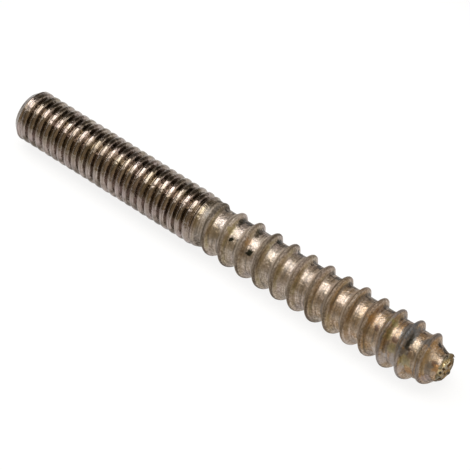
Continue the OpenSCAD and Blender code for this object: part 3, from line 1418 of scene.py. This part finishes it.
    @staticmethod
    def _cap(
        form: bmesh.types.BMesh, rim: list[bmesh.types.BMVert], rings: int, face: Face
    ) -> set[bmesh.types.BMVert]:
        """Closes an open rim with rings that shrink to its centre.

        Args:
            form: the form.
            rim: the open rim in order.
            rings: number of rings.
            face: finish of the new faces.

        Returns:
            The new points.
        """
        centre = sum((vert.co for vert in rim), Vector()) / len(rim)
        added: set[bmesh.types.BMVert] = set()
        made: list[bmesh.types.BMFace] = []
        outer = rim
        for ring in range(1, rings):
            inner = [form.verts.new(vert.co.lerp(centre, ring / rings)) for vert in rim]
            for j in range(len(rim)):
                k = (j + 1) % len(rim)
                made.append(form.faces.new((outer[j], outer[k], inner[k], inner[j])))
            added.update(inner)
            outer = inner
        middle = form.verts.new(centre)
        added.add(middle)
        for j in range(len(rim)):
            made.append(form.faces.new((outer[j], outer[(j + 1) % len(rim)], middle)))
        for new_face in made:
            new_face.material_index = face.value
            new_face.smooth = False
        bmesh.ops.recalc_face_normals(form, faces=form.faces)
        for j, vert in enumerate(rim):
            edge = form.edges.get((vert, rim[(j + 1) % len(rim)]))
            edge.smooth = False
        return added

    def _unwarp(self, verts: set[bmesh.types.BMVert]) -> None:
        """Lets the plane that the tip was cut along take the broken surface's shape.

        Args:
            verts: the points of the tip.
        """
        ordered = list(verts)
        places = np.array([vert.co[:] for vert in ordered])
        for vert, offset in zip(ordered, self.break_offset(places[:, 1], places[:, 2])):
            vert.co.x += offset

    def _to_frame(self, form: bmesh.types.BMesh) -> None:
        """Moves the form from its own axis to the part's frame, in metres.

        Args:
            form: the form.
        """
        place = Vector((-self.length / 2, 0, self.axis_height))
        bmesh.ops.translate(form, verts=form.verts, vec=place)
        bmesh.ops.scale(form, verts=form.verts, vec=Vector((MM, MM, MM)))

    def _stamp(self, mesh: bpy.types.Mesh) -> None:
        """Stores where each point lies in the thread, for the finishes.

        Args:
            mesh: the finished mesh. It gets the cosine and sine of the place across the thread,
                and the share of the thread's height.
        """
        places = np.empty(len(mesh.vertices) * 3)
        mesh.vertices.foreach_get("co", places)
        places = places.reshape(-1, 3) / MM
        x = places[:, 0] + self.length / 2
        y, z = places[:, 1], places[:, 2] - self.axis_height
        angle = np.arctan2(z, y)
        turned = (np.degrees(angle) - self.crest_angle) / FULL_TURN
        turns = self.turns_at(x - self.wander_at(self.turns_at(x), angle))
        across = 2 * math.pi * (turns - turned)
        root, crest = self.root_r(x), self.crest_r(x)
        height = np.clip((np.hypot(y, z) - root) / np.maximum(crest - root, self.LEAST_HEIGHT), 0, 1)
        stamp = np.stack((np.cos(across), np.sin(across), height), axis=1).astype(np.float32)
        attribute = mesh.attributes.new(self.PHASE, "FLOAT_VECTOR", "POINT")
        attribute.data.foreach_set("vector", stamp.ravel())

    def dress(self, piece: bpy.types.Object, effects: Effects) -> None:
        """Gives the screw its finishes and its place in the frame.

        Args:
            piece: the screw.
            effects: the shared node groups.
        """
        finishes = {
            Face.ROLLED: ThreadFinish().material(effects, self),
            Face.CUT_END: CutFinish().material(effects),
            Face.BREAK: BreakFinish().material(effects, self),
        }
        for face in Face:
            piece.data.materials.append(finishes[face])
        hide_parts(NODE)
        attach(piece, BODY)


def turned_to(place: Vector, back: Vector, right: Vector) -> Matrix:
    """Gives the transform of a camera or lamp.

    Args:
        place: where it stands.
        back: the way away from what it looks at.
        right: about the way of its own X.

    Returns:
        The transform.
    """
    z = back.normalized()
    y = z.cross(right).normalized()
    turn = Matrix((y.cross(z), y, z)).transposed().to_4x4()
    return Matrix.Translation(place) @ turn


@dataclass(frozen=True)
class Softbox:
    """A soft lamp.

    Attributes:
        name: its name.
        toward: the way from the screw to the lamp.
        distance: its distance in metres.
        length: its length along the screw in metres.
        width: its width in metres.
        glow: brightness of its face, 1 for white.
    """

    name: str
    toward: Color
    distance: float
    length: float
    width: float
    glow: float

    def build(self, aim: Vector) -> None:
        """Builds the lamp.

        Args:
            aim: the point that it lights.
        """
        lamp = bpy.data.lights.new(self.name, "AREA")
        lamp.shape = "RECTANGLE"
        lamp.size, lamp.size_y = self.length, self.width
        lamp.energy = self.glow * math.pi * self.length * self.width
        stand = bpy.data.objects.new(self.name, lamp)
        back = Vector(self.toward).normalized()
        stand.matrix_world = turned_to(aim + back * self.distance, back, Vector((1, 0, 0)))
        bpy.context.scene.collection.objects.link(stand)


@dataclass(frozen=True)
class Studio:
    """Floor, light and camera.

    Attributes:
        floor_size: side of the floor in metres.
        floor_color: colour of the floor.
        floor_glow_share: share of the floor that looks plain white, whatever light falls on it.
        floor_far: how pale the floor is far from the screw, as a share.
        floor_near: distances from the screw at which the floor begins and ends to fall off, in metres.
        room_dark: colour of the far side of the room.
        room_light: colour of the near side of the room.
        room_near: the way to the near side.
        room_climb: how far a way points there where the near side begins and is full.
        room_back: colour of the low wall behind the screw.
        wall_back: how far a way points backwards where the wall begins and is full.
        wall_up: how far it points upwards where the wall ends and is full.
        softboxes: the lamps.
        azimuth: angle of the camera round the screw in degrees, 0 looking along +Y.
        elevation: angle of the camera over the floor in degrees.
        distance: distance of the camera in metres.
        lens: focal length in millimetres.
        aim_right: how far to the right of the screw's middle the camera aims, in metres.
        aim_up: how far above the screw's middle in the picture the camera aims, in metres.
    """

    floor_size: float = 6.0
    floor_color: Color = (0.96, 0.96, 0.96)
    floor_glow_share: float = 0.85
    floor_far: float = 0.5
    floor_near: Span = (0.05, 0.12)
    room_dark: Color = (0.12, 0.105, 0.080)
    room_light: Color = (0.52, 0.415, 0.275)
    room_near: Color = (0.80, -0.60, 0.0)
    room_climb: Span = (-0.6, 0.8)
    room_back: Color = (0.52, 0.47, 0.43)
    wall_back: Span = (0.35, 0.75)
    wall_up: Span = (0.42, 0.22)
    softboxes: tuple[Softbox, ...] = (
        Softbox("overhead_softbox", (-0.20, 0.01, 0.98), 0.68, 1.0, 0.48, 4.4),
        Softbox("side_softbox", (-0.93, -0.12, 0.34), 0.70, 0.40, 0.40, 1.2),
        Softbox("back_softbox", (0.72, 0.52, 0.46), 0.70, 0.50, 0.50, 0.9),
    )
    azimuth: float = 39.28
    elevation: float = 49.29
    distance: float = 0.417
    lens: float = 225.3
    aim_right: float = 0.000634
    aim_up: float = 0.000289

    def build(self, screw: Screw, floor_z: float) -> None:
        """Builds all of it.

        Args:
            screw: the screw.
            floor_z: height of the floor.
        """
        middle = Vector((0, 0, screw.axis_height * MM))
        self._floor(floor_z)
        self._room()
        for softbox in self.softboxes:
            softbox.build(middle)
        self._camera(middle)

    def _floor(self, floor_z: float) -> None:
        """Builds the pale floor.

        Args:
            floor_z: its height.
        """
        half = self.floor_size / 2
        corners = [(x, y, floor_z) for x, y in ((-half, -half), (half, -half), (half, half), (-half, half))]
        mesh = bpy.data.meshes.new("floor")
        mesh.from_pydata(corners, [], [(0, 1, 2, 3)])
        floor = bpy.data.objects.new("floor", mesh)
        bpy.context.scene.collection.objects.link(floor)
        mesh.materials.append(self._floor_material())
        floor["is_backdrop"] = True

    def _floor_material(self) -> bpy.types.Material:
        """Builds the floor's finish.

        Returns:
            A matt material that keeps shadows and looks plain white to the camera and in the metal.
        """
        material = bpy.data.materials.new("pale_floor")
        material.use_nodes = True
        bench = NodeBench(material.node_tree)
        path = bench.add("ShaderNodeLightPath").outputs
        seen = bench.math("MAXIMUM", path["Is Camera Ray"], path["Is Glossy Ray"])
        seen = bench.math("MAXIMUM", seen, path["Is Transmission Ray"])
        share = bench.product(seen, self.floor_glow_share)
        place = bench.add("ShaderNodeTexCoord").outputs["Object"]
        far = bench.climb(bench.vector_math("LENGTH", place), *self.floor_near)
        pale = tuple(self.floor_far * part for part in self.floor_color)
        color = bench.mix(far, self.floor_color, pale)
        glow = bench.mix(far, (1.0, 1.0, 1.0), (self.floor_far,) * 3)
        matt = bench.add("ShaderNodeBsdfDiffuse", {"Color": color}).outputs[0]
        white = bench.add("ShaderNodeEmission", {"Color": glow, "Strength": 1.0}).outputs[0]
        mixed = bench.add("ShaderNodeMixShader", {0: share, 1: matt, 2: white}).outputs[0]
        bench.feed(bench.add("ShaderNodeOutputMaterial").inputs["Surface"], mixed)
        return material

    def _room(self) -> None:
        """Builds the dim room, lighter on its near side."""
        world = bpy.data.worlds.new("room")
        world.use_nodes = True
        bench = NodeBench(world.node_tree)
        way = bench.add("ShaderNodeTexCoord").outputs["Generated"]
        near = bench.vector_math("DOT_PRODUCT", way, self.room_near)
        color = bench.mix(bench.climb(near, *self.room_climb), self.room_dark, self.room_light)
        _, back, up = bench.parts(way)
        low_wall = bench.product(bench.climb(back, *self.wall_back), bench.climb(up, *self.wall_up))
        color = bench.mix(low_wall, color, self.room_back)
        wall = bench.add("ShaderNodeBackground", {"Color": color, "Strength": 1.0}).outputs[0]
        bench.feed(bench.add("ShaderNodeOutputWorld").inputs["Surface"], wall)
        bpy.context.scene.world = world

    def _camera(self, middle: Vector) -> None:
        """Builds the camera.

        Args:
            middle: the middle of the screw's axis.
        """
        a, e = math.radians(self.azimuth), math.radians(self.elevation)
        back = Vector((math.sin(a) * math.cos(e), -math.cos(a) * math.cos(e), math.sin(e)))
        right = Vector((math.cos(a), math.sin(a), 0))
        aim = middle + right * self.aim_right + back.cross(right) * self.aim_up
        camera = bpy.data.cameras.new("camera")
        camera.lens = self.lens
        stand = bpy.data.objects.new("camera", camera)
        stand.matrix_world = turned_to(aim + back * self.distance, back, right)
        bpy.context.scene.collection.objects.link(stand)
        bpy.context.scene.camera = stand


def main() -> None:
    """Builds the screw, dresses it, and sets it in the studio."""
    logging.basicConfig(level=logging.INFO, format="%(message)s")
    bpy.context.scene.view_settings.view_transform = "Standard"
    screw = Screw.from_frame(frame["record"])
    piece = screw.build()
    screw.dress(piece, Effects())
    LOG.info("%s: %d faces", piece.name, len(piece.data.polygons))
    visual_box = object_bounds()
    Studio().build(screw, visual_box[0].z)
    LOG.info("floor, lamps and camera are in place")


if __name__ == "__main__":
    main()
